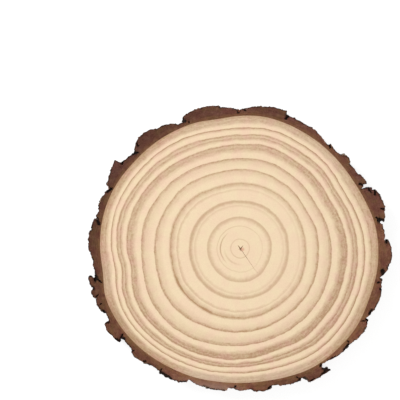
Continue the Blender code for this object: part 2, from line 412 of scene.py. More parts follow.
def loop_lines(first, count):
    """The lines of a closed loop over that many points in a row, as pairs of their numbers."""
    return [(first + k, first + (k + 1) % count) for k in range(count)]


def turn(a, b, c):
    """Above 0 where c lies to the left of the line from a to b."""
    return (b - a)[:, 0] * (c - a)[:, 1] - (b - a)[:, 1] * (c - a)[:, 0]


def crossings(loop):
    """Each pair of places where a closed loop crosses itself within a few points."""
    ends = np.roll(loop, -1, axis=0)
    found = []
    for gap in range(2, KNOT_REACH):
        far, far_ends = np.roll(loop, -gap, axis=0), np.roll(ends, -gap, axis=0)
        one = turn(loop, ends, far) * turn(loop, ends, far_ends) <= 0
        other = turn(far, far_ends, loop) * turn(far, far_ends, ends) <= 0
        found += [(k, k + gap + 1) for k in np.flatnonzero(one & other)]
    return found


def untangled(loop):
    """The loop with each small knot in it drawn straight."""
    loop = loop.copy()
    for _ in range(KNOT_ROUNDS):
        knots = crossings(loop)
        if not knots:
            break
        for first, last in knots:
            which = np.arange(first, last + 1) % len(loop)
            shares = np.linspace(0, 1, len(which))[:, None]
            bow = KNOT_BOW * np.sin(math.pi * shares)
            loop[which] = loop[which[0]] * (1 - shares) + loop[which[-1]] * shares + bow
    return loop


def mesh_object(name, points, faces, materials, face_materials, attributes):
    """An object from points in mm, with smooth shading and its attributes, one value to a point."""
    mesh = bpy.data.meshes.new(name)
    mesh.from_pydata((points * MM).tolist(), [], faces)
    for material in materials:
        mesh.materials.append(material)
    mesh.polygons.foreach_set("material_index", np.asarray(face_materials, np.int32))
    for label, values in attributes.items():
        layer = mesh.attributes.new(label, "FLOAT", "POINT")
        layer.data.foreach_set("value", np.asarray(values, np.float32))
    mesh.shade_smooth()
    mesh.set_sharp_from_angle(angle=math.radians(SHARP_DEGREES))
    mesh.validate()
    made = bpy.data.objects.new(name, mesh)
    bpy.context.scene.collection.objects.link(made)
    return made


# Wood


def ring_age(points):
    """How many rings lie inside each point of the plan, with the part of a ring that it is into.

    The pith is at 0, the edge of ring number n is at n, and the wood's edge is one past the last ring.
    """
    bearings, radii = polar(points)
    level = np.column_stack([points / WOBBLE_SIZE, np.zeros(len(points))])
    wobble = WOBBLE * sampled(lambda at: noise.fractal(at, 0.8, 2, 3), level)
    wobble *= np.clip(radii / WOBBLE_FULL_FROM, 0, 1) * np.clip((WOBBLE_ENDS - radii) / WOBBLE_FADE, 0, 1)
    radii = radii + wobble
    edges = [np.zeros(len(points))]
    edges += [closed_curve(pairs, bearings) * MM_PER_PIXEL for pairs in RING_EDGES]
    edges.append(wood_radius(bearings))
    ages = np.zeros(len(points))
    for number, (low, high) in enumerate(zip(edges, edges[1:])):
        ages += np.clip((radii - low) / (high - low), 0, 1)
    return ages


def check_line(bearing, length):
    """A check's middle line on the plan, from the star's middle outwards."""
    steps = np.arange(0, length + 0.01, SHORT_CHECK_STEP if length < SHORT_CHECK else LONG_CHECK_STEP)
    swing = [noise.noise(Vector((step / 5, bearing, 0))) * min(1, step / 3) for step in steps]
    along = heading(bearing)
    across = np.array([-along[1], along[0]])
    return STAR + np.outer(steps, along) + CHECK_WANDER * np.outer(swing, across)


def check_share(place):
    """How wide and deep a check is there, from 1 near the pith to 0 at its end."""
    return np.clip(1 - place, 0, 1) ** 0.6


def check_outline(bearing, length, half_width):
    """A check's middle line and its two lips."""
    line = check_line(bearing, length)
    tangent = np.gradient(line, axis=0)
    tangent /= np.linalg.norm(tangent, axis=1, keepdims=True)
    across = np.stack([-tangent[:, 1], tangent[:, 0]], axis=-1)
    width = half_width * check_share(np.linspace(0, 1, len(line)))[:, None]
    return line, line + across * width, line - across * width


def check_depth(points):
    depth = np.zeros(len(points))
    for bearing, length, half_width, deepest in CHECKS:
        line = check_line(bearing, length)
        steps = len(line) - 1
        parts = np.linspace(0, steps, steps * CHECK_STEP_PARTS + 1)
        fine_line = np.column_stack([np.interp(parts, np.arange(len(line)), axis) for axis in line.T])
        far, which = nearest(points, fine_line)
        share = check_share(which / (len(fine_line) - 1))
        inner = np.clip(1 - far / np.maximum(half_width * share, 1e-3), 0, 1)
        depth = np.maximum(depth, deepest * share * inner)
    return depth


def wood_face():
    """The wood's upper face on the plan: its points, its triangles and how many lie on its rim."""
    rim_bearings = np.arange(RIM_POINTS) * 360 / RIM_POINTS
    rim_radii = wood_radius(rim_bearings)
    points = [on_plan(rim_bearings, rim_radii - SEAM)]
    lines = loop_lines(0, RIM_POINTS)
    field = []
    rings = round(rim_radii.mean() / FACE_STEP)
    for ring in range(1, rings):
        share = ring / rings
        count = max(6, round(math.tau * rim_radii.mean() * share / FACE_STEP))
        bearings = (np.arange(count) + 0.5 * (ring % 2)) * 360 / count
        field.append(on_plan(bearings, wood_radius(bearings) * share))
    field = np.concatenate(field)
    cuts = [part for check in CHECKS for part in check_outline(*check[:3])]
    far = nearest(field, np.concatenate(cuts))[0]
    points.append(field[far > CHECK_CLEARANCE])
    placed = sum(map(len, points))
    for cut in cuts:
        points.append(cut)
        lines += [(placed + k, placed + k + 1) for k in range(len(cut) - 1)]
        placed += len(cut)
    plan, triangles = triangulated(np.concatenate(points), lines)
    return plan, triangles[inside(plan[triangles].mean(axis=1), points[0])]


def make_wood(material):
    """The wood, from cut face to cut face, with the checks cut into both."""
    plan, triangles = wood_face()
    count = len(plan)
    depth = check_depth(plan)
    heights = np.concatenate([SLICE_TOP - depth, depth])
    points = np.column_stack([np.tile(plan, (2, 1)), heights])
    faces = triangles.tolist() + (triangles[:, ::-1] + count).tolist()
    for a, b in loop_lines(0, RIM_POINTS):
        faces.append((b, a, a + count, b + count))
    attributes = {
        "age": np.tile(ring_age(plan), 2),
        # The checks' depth, by which the wood's material paints shade in them.
        "check": np.tile(depth, 2),
        "pale": np.tile(closed_curve(OUTER_PALE, polar(plan)[0]), 2),
    }
    return mesh_object("wood", points, faces, [material], np.zeros(len(faces)), attributes)


# Bark


def freedom(bearings):
    """0 at a furrow that runs straight down, and 1 away from those."""
    away = np.abs((np.subtract.outer(bearings, STRAIGHT_BEARINGS) + 180) % 360 - 180)
    return np.clip(away.min(axis=-1) / STRAIGHT_REACH, 0, 1) ** 2


def wander(bearing, drop):
    """How many degrees a furrow at this bearing has moved, at a depth of drop below the upper face."""
    size = 360 / WANDER_WAVE_DEGREES / math.tau
    across = Vector((*(size * heading(bearing)), 0))
    down = Vector((0, 0, drop / WANDER_WAVE_DOWN))
    return freedom(bearing) * WANDER_DEGREES * (noise.noise(across + down) - noise.noise(across))


def thinning(plate, drop):
    """The share of its thickness that plate number plate has lost at that depth."""
    across = Vector((THINNING_SEED[0] * plate, THINNING_SEED[1], 0))
    down = Vector((0, 0, drop / THINNING_WAVE_DOWN))
    return THINNING_SHARE * abs(noise.noise(across + down) - noise.noise(across))


def along_plate(start, middle, end, share):
    """The thickness at a share of a plate's width, on the parabola through its three thicknesses."""
    return start + share * (4 * middle - 3 * start - end) + 2 * share**2 * (start + end - 2 * middle)


def plate_profile(plate, drop):
    """The edge of plate number plate at one depth, as (bearing, thickness) points."""
    first, last, start, middle, end = BARK_PLATES[plate][:5]
    steps = max(2, round((last - first) / PLATE_STEP_DEGREES))
    shares = np.linspace(0, 1, steps + 1)
    bearings = first + shares * (last - first)
    kept = 1 - thinning(plate, drop) * freedom(bearings)
    return list(zip(bearings, along_plate(start, middle, end, shares) * kept))


def furrow_profile(plate, edge, far_edge, drop):
    """The furrow after plate number plate, between the (bearing, thickness) points at its two edges."""
    floor, reach = BARK_PLATES[plate][5:]
    if plate in CLOSED_FURROWS:
        full = CLOSED_SHARE * min(edge[1], far_edge[1])
        floor += (full - floor) * smooth_step(drop, CLOSED_FROM, CLOSED_BY)
    middle = (edge[0] + far_edge[0]) / 2
    if reach > 0:
        return [(middle + reach / 2, floor), (middle + reach, (floor + far_edge[1]) / 2)]
    if reach < 0:
        return [(middle + reach, (floor + edge[1]) / 2), (middle + reach / 2, floor)]
    if far_edge[0] - edge[0] < NOTCH_DEGREES:
        return [(middle, floor)]
    return [(edge[0] + FURROW_BANK_DEGREES, floor), (far_edge[0] - FURROW_BANK_DEGREES, floor)]


def bark_profile(drop):
    """The bark's edge at one depth: (bearing, thickness, plate number) for each point."""
    plates = [plate_profile(plate, drop) for plate in range(len(BARK_PLATES))]
    points = []
    for plate, edge in enumerate(plates):
        far_bearing, far_thickness = plates[(plate + 1) % len(plates)][0]
        far_bearing += 360 if far_bearing < edge[-1][0] else 0
        furrow = furrow_profile(plate, edge[-1], (far_bearing, far_thickness), drop)
        for bearing, thickness in edge + furrow:
            points.append((bearing + wander(bearing, drop), thickness, plate))
    return np.array(points)


def bark_grid():
    """The bark's side before its relief, as rows of points from the upper face down.

    It returns the points, the bark's thickness at each, and each column's plate and its bearing at the
    upper face.
    """
    drops = np.linspace(0, SLICE_TOP, BARK_LEVELS)
    profiles = [bark_profile(drop) for drop in drops]
    top = profiles[0]
    corners = on_plan(top[:, 0], closed_curve(WOOD_EDGE, top[:, 0]) + top[:, 1])
    lengths = np.linalg.norm(np.roll(corners, -1, axis=0) - corners, axis=1)
    counts = np.maximum(1, np.round(lengths / WALL_STEP).astype(int))
    starts = np.repeat(np.arange(len(top)), counts)
    shares = np.concatenate([np.arange(count) / count for count in counts])
    rows, thicknesses = [], []
    for drop, profile in zip(drops, profiles):
        ends = np.roll(profile[:, :2], -1, axis=0) + np.outer(np.arange(len(top)) == len(top) - 1, (360, 0))
        refined = profile[starts, :2] + shares[:, None] * (ends - profile[:, :2])[starts]
        plan = on_plan(refined[:, 0], closed_curve(WOOD_EDGE, refined[:, 0]) + refined[:, 1])
        for _ in range(2):
            plan = (np.roll(plan, 1, axis=0) + 2 * plan + np.roll(plan, -1, axis=0)) / 4
        rows.append(np.column_stack([plan, np.full(len(plan), SLICE_TOP - drop)]))
        thicknesses.append(refined[:, 1])
    ends = np.append(top[1:, 0], top[0, 0] + 360)
    bearings = top[starts, 0] + shares * (ends - top[:, 0])[starts]
    return np.array(rows), np.array(thicknesses), top[starts, 2].astype(int), bearings


def outward(rows):
    """The direction out of the bark at each point of the grid, level with the cut faces."""
    along = np.roll(rows, -2, axis=1) - np.roll(rows, 2, axis=1)
    normal = np.stack([along[..., 1], -along[..., 0]], axis=-1)
    for shift in (1, 2):
        normal = normal + np.roll(normal, shift, axis=1) + np.roll(normal, -shift, axis=1)
    return normal / np.linalg.norm(normal, axis=-1, keepdims=True)


def flake_layer(at):
    """The height of the layer of flakes at a point, from 0 to 1, in steps with steep risers."""
    height = (0.5 + 0.5 * noise.fractal(at, 0.9, 2.1, 3)) * FLAKE_LAYERS
    layer = math.floor(height)
    riser = min(1, max(0, (height - layer - 1 + FLAKE_RISER) / FLAKE_RISER))
    return min(1, max(0, (layer + riser * riser * (3 - 2 * riser)) / FLAKE_LAYERS))


def crack_share(at):
    """1 in the middle of a crack between flakes, 0 outside it."""
    bent = at + 0.45 * noise.noise_vector(at * 1.3) + 0.2 * noise.noise_vector(at * 3.1)
    near, second = noise.voronoi(bent)[0][:2]
    width = CRACK_WIDTH * (1 + noise.noise(at * 0.6))
    return max(0, 1 - (second - near) / width)


def edge_mark_depth(bearings, drops):
    """How far the teeth and gaps of the edge move each point out."""
    push = np.zeros(np.broadcast(bearings, drops).shape)
    for bearing, half_width, out, fade in EDGE_MARKS:
        away = np.abs((bearings - bearing + 180) % 360 - 180)
        push += out * np.clip(1 - away / half_width, 0, 1) * np.exp(-drops / fade)
    return push


def relief(rows, thicknesses, bearings):
    """How far each point of the bark's side moves out, with the flakes' heights and the cracks."""
    drops = SLICE_TOP - rows[..., 2]
    below = 1 - np.exp(-drops / TOP_EDGE_KEPT)
    flakes = sampled(flake_layer, rows / np.array(FLAKE_SIZE))
    cracks = sampled(crack_share, rows / np.array(CRACK_CELL))
    ridges = 1 - 2 * np.abs(sampled(noise.noise, rows / np.array(RIDGE_SIZE)))
    grain = sampled(lambda at: noise.fractal(at, 0.8, 2, 3), rows / GRAIN_SIZE)
    rag = sampled(lambda at: noise.fractal(at, 0.7, 2, 2), rows / RAG_SIZE)
    push = FLAKE_DEPTH * (flakes - flakes[0] * (1 - below) - 0.5 * below)
    push += RIDGE_DEPTH * (ridges - ridges[0] * (1 - below) - 0.6 * below)
    push += GRAIN_DEPTH * grain * (0.2 + 0.8 * below) + RAG_DEPTH * rag * (1 - 0.5 * below)
    push += CRACK_DEPTH * (0.15 - cracks) * (0.2 + 0.8 * below)
    push *= np.clip(thicknesses / FULL_RELIEF_BARK, 0, 1) ** 2
    push = push[0] + (push - push[0]) * freedom(bearings)
    return push + edge_mark_depth(bearings, drops), flakes, cracks


def chip_share(points, rim, height):
    """How much is broken off a cut face at each point of the plan, by its distance from the rim."""
    rough = sampled(
        lambda at: noise.fractal(at, 0.9, 2, 2),
        np.column_stack([points / CHIP_SIZE, np.full(len(points), height)]),
    )
    return np.clip(3 * rough - 0.2, 0, 1) * np.clip(1 - rim / CHIP_REACH, 0, 1)


def hollow_share(points):
    """1 in the middle of a hollow of the upper cut face, 0 outside them."""
    bends = np.column_stack([points / 1.6, np.zeros(len(points))])
    bent = points + 0.45 * np.array([noise.noise_vector(Vector(at))[:2] for at in bends])
    share = np.zeros(len(points))
    for bearing, radius, far_bearing, far_radius, half_width in HOLLOWS:
        start, end = on_plan(np.array((bearing, far_bearing)), np.array((radius, far_radius)))
        along = end - start
        place = np.clip((bent - start) @ along / max(along @ along, 1e-6), 0, 1)
        away = np.linalg.norm(bent - start - place[:, None] * along, axis=1)
        share = np.maximum(share, 1 - smooth_step(away, 0.55 * half_width, 1.15 * half_width))
    return share


def cap_plan(edge, furrow):
    """The bark's cut face on the plan, between its outer edge and the wood.

    It returns the points, the triangles, each point's distance from the edge and the furrow near it.
    """
    rim_bearings = np.arange(RIM_POINTS) * 360 / RIM_POINTS
    wood_rim = on_plan(rim_bearings, wood_radius(rim_bearings))
    field = []
    thickest = max(max(plate[2:5]) for plate in BARK_PLATES)
    for ring, out in enumerate(np.arange(CAP_STEP, thickest, CAP_STEP)):
        count = round(math.tau * (wood_radius(0) + out) / CAP_STEP)
        bearings = (np.arange(count) + 0.5 * (ring % 2)) * 360 / count
        field.append(on_plan(bearings, wood_radius(bearings) + out))
    field = np.concatenate(field)
    field = field[inside(field, edge)]
    field = field[nearest(field, edge)[0] > 0.55 * CAP_STEP]
    points = np.concatenate([edge, wood_rim, field])
    lines = loop_lines(0, len(edge)) + loop_lines(len(edge), RIM_POINTS)
    plan, triangles = triangulated(points, lines)
    middles = plan[triangles].mean(axis=1)
    kept = inside(middles, edge) & ~inside(middles, wood_rim)
    rim, which = nearest(plan, edge)
    return plan, triangles[kept], rim, furrow[which]


def furrow_share(thicknesses, plates):
    """How far each point of the side lies back in a furrow, beside the thickest bark near it."""
    widest = thicknesses
    for shift in (4, 8, 12, 16):
        beside = np.maximum(np.roll(widest, shift, axis=1), np.roll(widest, -shift, axis=1))
        widest = np.maximum(widest, beside)
    share = np.clip(1 - thicknesses / widest, 0, 1)
    # The share is painted as shade on the side, and the closed furrows keep the upper face's share all the
    # way down.
    return np.maximum(share, share[0] * np.isin(plates, CLOSED_FURROWS))


def strip_share(bearings):
    """1 in the middle of a bare strip, 0 away from them."""
    share = np.zeros(len(bearings))
    for bearing, half_width in BARE_STRIPS:
        share = np.maximum(share, np.clip(1.5 - 1.5 * np.abs(bearings - bearing) / half_width, 0, 1))
    return share


def side_quads(levels, columns):
    """The faces of the bark's side, between its rows of points."""
    quads = []
    for row in range(0, (levels - 1) * columns, columns):
        for k in range(columns):
            j = (k + 1) % columns
            quads.append((row + k, row + columns + k, row + columns + j, row + j))
    return quads


def cut_face(edge, furrow, level):
    """One cut face of the bark, with its edge first: its points, its triangles and its attributes."""
    plan, triangles, rim, near_furrow = cap_plan(edge, furrow)
    chips = chip_share(plan, rim, level)
    hollows = hollow_share(plan) if level == 0 else chips
    sunk = np.maximum(CHIP_DEPTH * chips, HOLLOW_DEPTH * hollows)
    heights = SLICE_TOP - sunk if level == 0 else sunk
    bearings, radii = polar(plan)
    nothing = np.zeros(len(plan))
    values = {
        "depth": radii - wood_radius(bearings),
        "rim": rim,
        "flake": nothing + 0.5,
        "crack": nothing,
        "furrow": near_furrow,
        "plate": nothing + 0.5,
        "strip": nothing,
        # Painted shade: the hollows and chips are painted near-black by this.
        "hollow": np.maximum(hollows, 0.8 * chips),
    }
    return np.column_stack([plan, heights]), triangles, values


def sink_edge(rows, level, heights):
    """Move a cut face's edge to its heights, and keep the rows of the side next to it clear of it."""
    down = 1 if level == 0 else -1
    bound = np.minimum if level == 0 else np.maximum
    rows[level, :, 2] = heights
    for step in range(1, ROWS_BELOW_CHIPS):
        row = rows[level + down * step]
        row[:, 2] = bound(row[:, 2], heights - down * ROW_DROP * step)


def make_bark(cut_material, side_material):
    """The bark: its side, its two cut faces, and its inner wall along the wood."""
    rows, thicknesses, plates, top_bearings = bark_grid()
    push, flakes, cracks = relief(rows, thicknesses, top_bearings)
    rows[..., :2] += outward(rows) * push[..., None]
    for level in (0, -1):
        rows[level, :, :2] = untangled(rows[level, :, :2])
    levels, columns = rows.shape[:2]
    furrows = furrow_share(thicknesses, plates)
    draw = random.Random(PLATE_SEED)
    tones = np.array([draw.random() for _ in BARK_PLATES])
    values = {
        "depth": [thicknesses],
        "rim": [np.zeros((levels, columns))],
        "flake": [flakes],
        "crack": [cracks],
        "furrow": [furrows],
        "plate": [np.tile(tones[plates], levels)],
        "strip": [np.tile(strip_share(top_bearings), levels)],
        "hollow": [np.zeros((levels, columns))],
    }

    points = [rows.reshape(-1, 3)]
    faces = side_quads(levels, columns)
    side_faces = len(faces)
    inner = []
    placed = levels * columns
    for level in (0, levels - 1):
        corners, triangles, face_values = cut_face(rows[level, :, :2], furrows[level], level)
        sink_edge(rows, level, corners[:columns, 2])
        own = np.arange(len(corners)) + placed - columns
        own[:columns] = level * columns + np.arange(columns)
        mapped = own[triangles]
        faces += (mapped if level == 0 else mapped[:, ::-1]).tolist()
        inner.append(own[columns:columns + RIM_POINTS].tolist())
        points.append(corners[columns:])
        for label, layer in face_values.items():
            values[label].append(layer[columns:])
        values["hollow"][0][level] = face_values["hollow"][:columns]
        placed += len(corners) - columns
    upper, lower = inner
    for k, j in loop_lines(0, RIM_POINTS):
        faces.append((upper[j], lower[j], lower[k], upper[k]))

    points = np.concatenate(points)
    attributes = {}
    for label, parts in values.items():
        attributes[label] = np.concatenate([np.ravel(part) for part in parts])
    around = polar(points[:, :2])[0]
    attributes["tone"] = closed_curve(BARK_TONES, around)
    attributes["mauve"] = closed_curve(BARK_MAUVE, around)
    slots = [1] * side_faces + [0] * (len(faces) - side_faces)
    return mesh_object("bark", points, faces, [cut_material, side_material], slots, attributes)


# Materials


class Finish:
    """One material's nodes. A method adds a node and returns what comes out of it."""

    def __init__(self, name, roughness, gloss):
        self.material = bpy.data.materials.new(name)
        self.material.use_nodes = True
        self.nodes = self.material.node_tree.nodes
        self.links = self.material.node_tree.links
        self.shader = self.nodes["Principled BSDF"]
        self.shader.inputs["Roughness"].default_value = roughness
        self.shader.inputs["Specular IOR Level"].default_value = gloss

    def feed(self, socket, value):
        if isinstance(value, bpy.types.NodeSocket):
            self.links.new(value, socket)
        else:
            socket.default_value = value

    def add(self, kind, inputs, output=0, **settings):
        made = self.nodes.new("ShaderNode" + kind)
        for label, value in settings.items():
            setattr(made, label, value)
        for socket, value in inputs.items():
            self.feed(made.inputs[socket], value)
        return made.outputs[output]

    def math(self, operation, a, b=0.0, clamp=False):
        return self.add("Math", {0: a, 1: b}, operation=operation, use_clamp=clamp)

    def times(self, a, b):
        return self.math("MULTIPLY", a, b)

    def vector(self, operation, a, b=(0, 0, 0)):
        return self.add("VectorMath", {0: a, 1: b}, operation=operation)

    def length(self, vector):
        return self.add("VectorMath", {0: vector}, output="Value", operation="LENGTH")

    def scaled(self, vector, scale):
        return self.add("VectorMath", {0: vector, "Scale": scale}, operation="SCALE")

    def ramp(self, value, low, high, at_low=0.0, at_high=1.0, smooth=False):
        inputs = {"Value": value, "From Min": low, "From Max": high, "To Min": at_low, "To Max": at_high}
        return self.add("MapRange", inputs, interpolation_type="SMOOTHSTEP" if smooth else "LINEAR")

    def mix(self, share, a, b, blend="MIX"):
        return self.add("Mix", {0: share, 6: a, 7: b}, output=2, data_type="RGBA", blend_type=blend)

    def tint(self, colour, value, start, full, most, screen):
        """The colour, moved towards a screen colour: not at all where value is at start, most at full."""
        return self.mix(self.ramp(value, start, full, 0, most), colour, screen_colour(*screen))

    def noise(self, vector, scale=1.0, detail=2.0, rough=0.5):
        inputs = {"Vector": vector, "Scale": scale, "Detail": detail, "Roughness": rough}
        return self.add("TexNoise", inputs)

    def attribute(self, label):
        return self.add("Attribute", {}, output="Fac", attribute_name=label)

    def place(self):
        """The point's own place, in mm."""
        return self.scaled(self.add("TexCoord", {}, output="Object"), 1 / MM)

    def bump(self, height, distance, strength=1.0):
        bumped = self.add("Bump", {"Height": height, "Distance": distance * MM, "Strength": strength})
        self.feed(self.shader.inputs["Normal"], bumped)


def screen_colour(red, green, blue):
    """A linear colour from the 0 to 255 values that a screen shows."""
    shares = [channel / 255 for channel in (red, green, blue)]
    return tuple(c / 12.92 if c <= 0.04045 else ((c + 0.055) / 1.055) ** 2.4 for c in shares) + (1,)


def around_pith(finish, place):
    """The direction from the pith and the distance, for streaks that run out from it or round it."""
    offset = finish.vector("SUBTRACT", place, (PITH[0], PITH[1], 0))
    level = finish.vector("MULTIPLY", offset, (1, 1, 0))
    distance = finish.length(level)
    return finish.vector("NORMALIZE", level), distance


def streaks(finish, direction, round_it, along, out):
    """Noise drawn out round the pith or away from it, by how often it changes each way."""
    outward = finish.add("CombineXYZ", {"Z": finish.times(along, out)})
    return finish.noise(finish.vector("ADD", finish.scaled(direction, round_it), outward), 1, 3, 0.65)


# The dark late wood, in rows: the age where it begins, where it is full, where it starts to fade and
# where it ends, how dark it is at its darkest bearing, how slowly it darkens at first, that bearing,
# and how fast it weakens away from there.
LATE_WOOD = (
    (0.262, 0.285, 0.295, 0.32, 0.34, 1.0, 250, 0.10),
    (0.445, 0.475, 0.490, 0.525, 0.30, 1.0, 230, 3.2),
    (0.575, 0.598, 0.608, 0.635, 0.66, 1.0, 178, 2.6),
    (0.68, 0.70, 0.707, 0.73, 0.31, 1.0, 150, 0.25),
    (0.84, 0.96, 0.99, 1.05, 0.51, 1.2, 0, 0.03),
    (1.58, 1.70, 1.72, 1.80, 0.26, 1.0, 180, 0.20),
    (1.76, 1.94, 2.00, 2.10, 0.62, 1.2, 180, 0.08),
    (2.53, 2.63, 2.66, 2.72, 0.40, 1.0, 205, 0.34),
    (2.70, 2.94, 3.00, 3.14, 0.66, 1.2, 230, 0.14),
    (2.91, 2.96, 2.99, 3.05, 0.88, 1.0, 230, 0.12),
    (2.93, 2.98, 3.00, 3.05, 1.15, 1.0, 222, 2.4),
    (2.86, 2.94, 3.00, 3.06, 1.40, 1.0, 211, 60),
    (2.86, 2.94, 3.00, 3.06, 1.30, 1.0, 241, 60),
    (3.45, 3.74, 3.78, 3.95, 0.26, 1.0, 190, 0.10),
    (3.70, 3.92, 3.98, 4.08, 0.76, 1.1, 290, 0.13),
    (3.88, 3.94, 3.98, 4.05, 0.96, 1.0, 290, 0.13),
    (4.25, 4.72, 4.75, 5.00, 0.28, 1.0, 270, 0.10),
    (4.60, 4.90, 4.98, 5.06, 0.72, 1.0, 270, 0.05),
    (4.89, 4.95, 4.98, 5.04, 0.90, 1.0, 270, 0.05),
    (5.33, 5.68, 5.76, 5.90, 0.88, 1.0, 285, 0.15),
    (5.55, 5.84, 5.97, 6.10, 0.86, 1.0, 285, 0.16),
    (5.87, 5.92, 5.97, 6.05, 1.08, 1.0, 285, 0.12),
    (6.28, 6.58, 6.64, 6.80, 0.88, 1.1, 280, 0.14),
    (6.52, 6.88, 6.97, 7.14, 0.88, 1.0, 285, 0.16),
    (6.85, 6.91, 6.96, 7.05, 1.08, 1.0, 285, 0.12),
    (7.50, 7.88, 7.96, 8.06, 0.80, 1.4, 305, 0.10),
    (7.83, 7.91, 7.96, 8.03, 1.12, 1.0, 305, 0.05),
    (8.20, 8.50, 9.50, 9.60, 0.80, 1.2, 215, 0.10),
    (8.38, 8.48, 8.52, 8.58, 0.84, 1.0, 6, 3),
    (8.55, 8.84, 9.50, 9.60, 1.00, 1.0, 215, 0.06),
    (8.84, 8.96, 9.50, 9.60, 1.15, 1.0, 215, 0.04),
)
FINE_LINE = 0.1


def late_wood(finish, age, early_age, direction):
    """How dark the late wood is, as the darkest of the rows above.

    Only the rows that darken slowly begin by the second age, which wavers.
    """
    darkest = None
    for begin, full, fade, end, darkness, power, bearing, lean in LATE_WOOD:
        wavering = early_age if full - begin > FINE_LINE else age
        rise = finish.math("POWER", finish.ramp(wavering, begin, full), power)
        fall = finish.ramp(age, fade, end, darkness, 0, smooth=True)
        share = finish.times(rise, fall)
        turned = {0: direction, 1: (*heading(bearing), 0)}
        facing = finish.add("VectorMath", turned, output="Value", operation="DOT_PRODUCT")
        leaning = {0: facing, 1: lean, 2: 1 - lean}
        weaker = finish.add("Math", leaning, operation="MULTIPLY_ADD", use_clamp=True)
        share = finish.times(share, weaker)
        darkest = share if darkest is None else finish.math("MAXIMUM", darkest, share)
    return darkest


def wood_finish():
    finish = Finish("wood_cut", 0.62, 0.3)
    place = finish.place()
    direction, distance = around_pith(finish, place)
    age = finish.attribute("age")
    inner = finish.ramp(age, 0, 4, 0.2, 1)
    ripple = finish.ramp(finish.noise(place, 0.5, 2), 0, 1, -0.035, 0.035)
    age = finish.math("ADD", age, finish.times(ripple, inner))
    blur = streaks(finish, direction, 8, age, 2.5)
    blur = finish.times(finish.ramp(blur, 0.25, 0.75, -0.07, 0.07), inner)
    early_age = finish.math("ADD", age, blur)
    dark = late_wood(finish, age, early_age, direction)

    hair = streaks(finish, direction, 115, distance, 1 / 4)
    striae = streaks(finish, direction, 14, age, 9)
    beads = streaks(finish, direction, 50, age, 7)
    patches = finish.noise(place, 1 / 10, 3)
    others = finish.noise(finish.vector("ADD", place, (310, 40, 0)), 1 / 7, 3)
    fibre = finish.noise(place, 1.1, 3, 0.6)

    strength = finish.ramp(striae, 0.32, 0.68, 0.72, 1.2)
    strength = finish.times(strength, finish.ramp(hair, 0.3, 0.7, 0.82, 1.15))
    strength = finish.times(strength, finish.ramp(beads, 0.32, 0.68, 0.8, 1.22))
    strength = finish.math("SUBTRACT", strength, 1)
    strength = finish.times(strength, finish.ramp(age, 1.5, 4, 0.25, 1))
    dark = finish.times(dark, finish.math("ADD", strength, 1))
    dark = finish.math("MINIMUM", dark, 1.2)

    outer = finish.ramp(age, 2.5, 6, 0.25, 1)
    pale = finish.mix(outer, screen_colour(244, 221, 184), screen_colour(243, 219, 182))
    peach = finish.mix(outer, screen_colour(244, 217, 183), screen_colour(244, 212, 182))
    early = finish.mix(finish.ramp(patches, 0.4, 0.6), pale, peach)
    pink = finish.times(finish.ramp(patches, 0.5, 0.62), outer)
    olive = finish.ramp(others, 0.52, 0.62, 0, 0.6)
    late = finish.mix(finish.ramp(age, 3, 6), screen_colour(184, 144, 105), screen_colour(184, 146, 112))
    late = finish.mix(pink, late, screen_colour(188, 142, 116))
    late = finish.mix(olive, late, screen_colour(177, 146, 104))
    colour = finish.mix(dark, early, late)
    outermost = finish.ramp(age, 8.15, 8.5)
    pale = finish.times(finish.attribute("pale"), outermost)
    colour = finish.tint(colour, pale, 0, 1, 0.4, (222, 203, 180))
    colour = finish.tint(colour, pale, 0, -1, 0.5, (165, 133, 102))
    shade = finish.ramp(hair, 0.25, 0.75, 0.96, 1.04)
    shade = finish.times(shade, finish.ramp(fibre, 0.25, 0.75, 0.955, 1.04))
    colour = finish.mix(1.0, colour, grey(finish, shade), "MULTIPLY")

    off_star = finish.vector("SUBTRACT", place, (STAR[0] + 1.5, STAR[1] - 0.2, 0))
    level = finish.vector("MULTIPLY", off_star, (1, 1, 0))
    blush = finish.ramp(finish.length(level), 0.3, 2.2, 0.7, 0, smooth=True)
    colour = finish.mix(blush, colour, screen_colour(214, 150, 122))
    check = finish.attribute("check")
    # Painted shade: the checks are tinted darker brown by their depth, as the shade inside the cracks.
    colour = finish.tint(colour, check, 0, 0.4, 0.85, (140, 95, 66))
    finish.feed(finish.shader.inputs["Base Color"], colour)
    height = finish.math("ADD", finish.times(hair, 0.5), finish.times(fibre, 0.4))
    finish.bump(finish.math("SUBTRACT", height, finish.times(dark, 0.4)), 0.06)
    finish.feed(finish.shader.inputs["Roughness"], finish.ramp(fibre, 0.3, 0.7, 0.56, 0.68))
    return finish.material


def grey(finish, level):
    return finish.add("CombineColor", {"Red": level, "Green": level, "Blue": level})


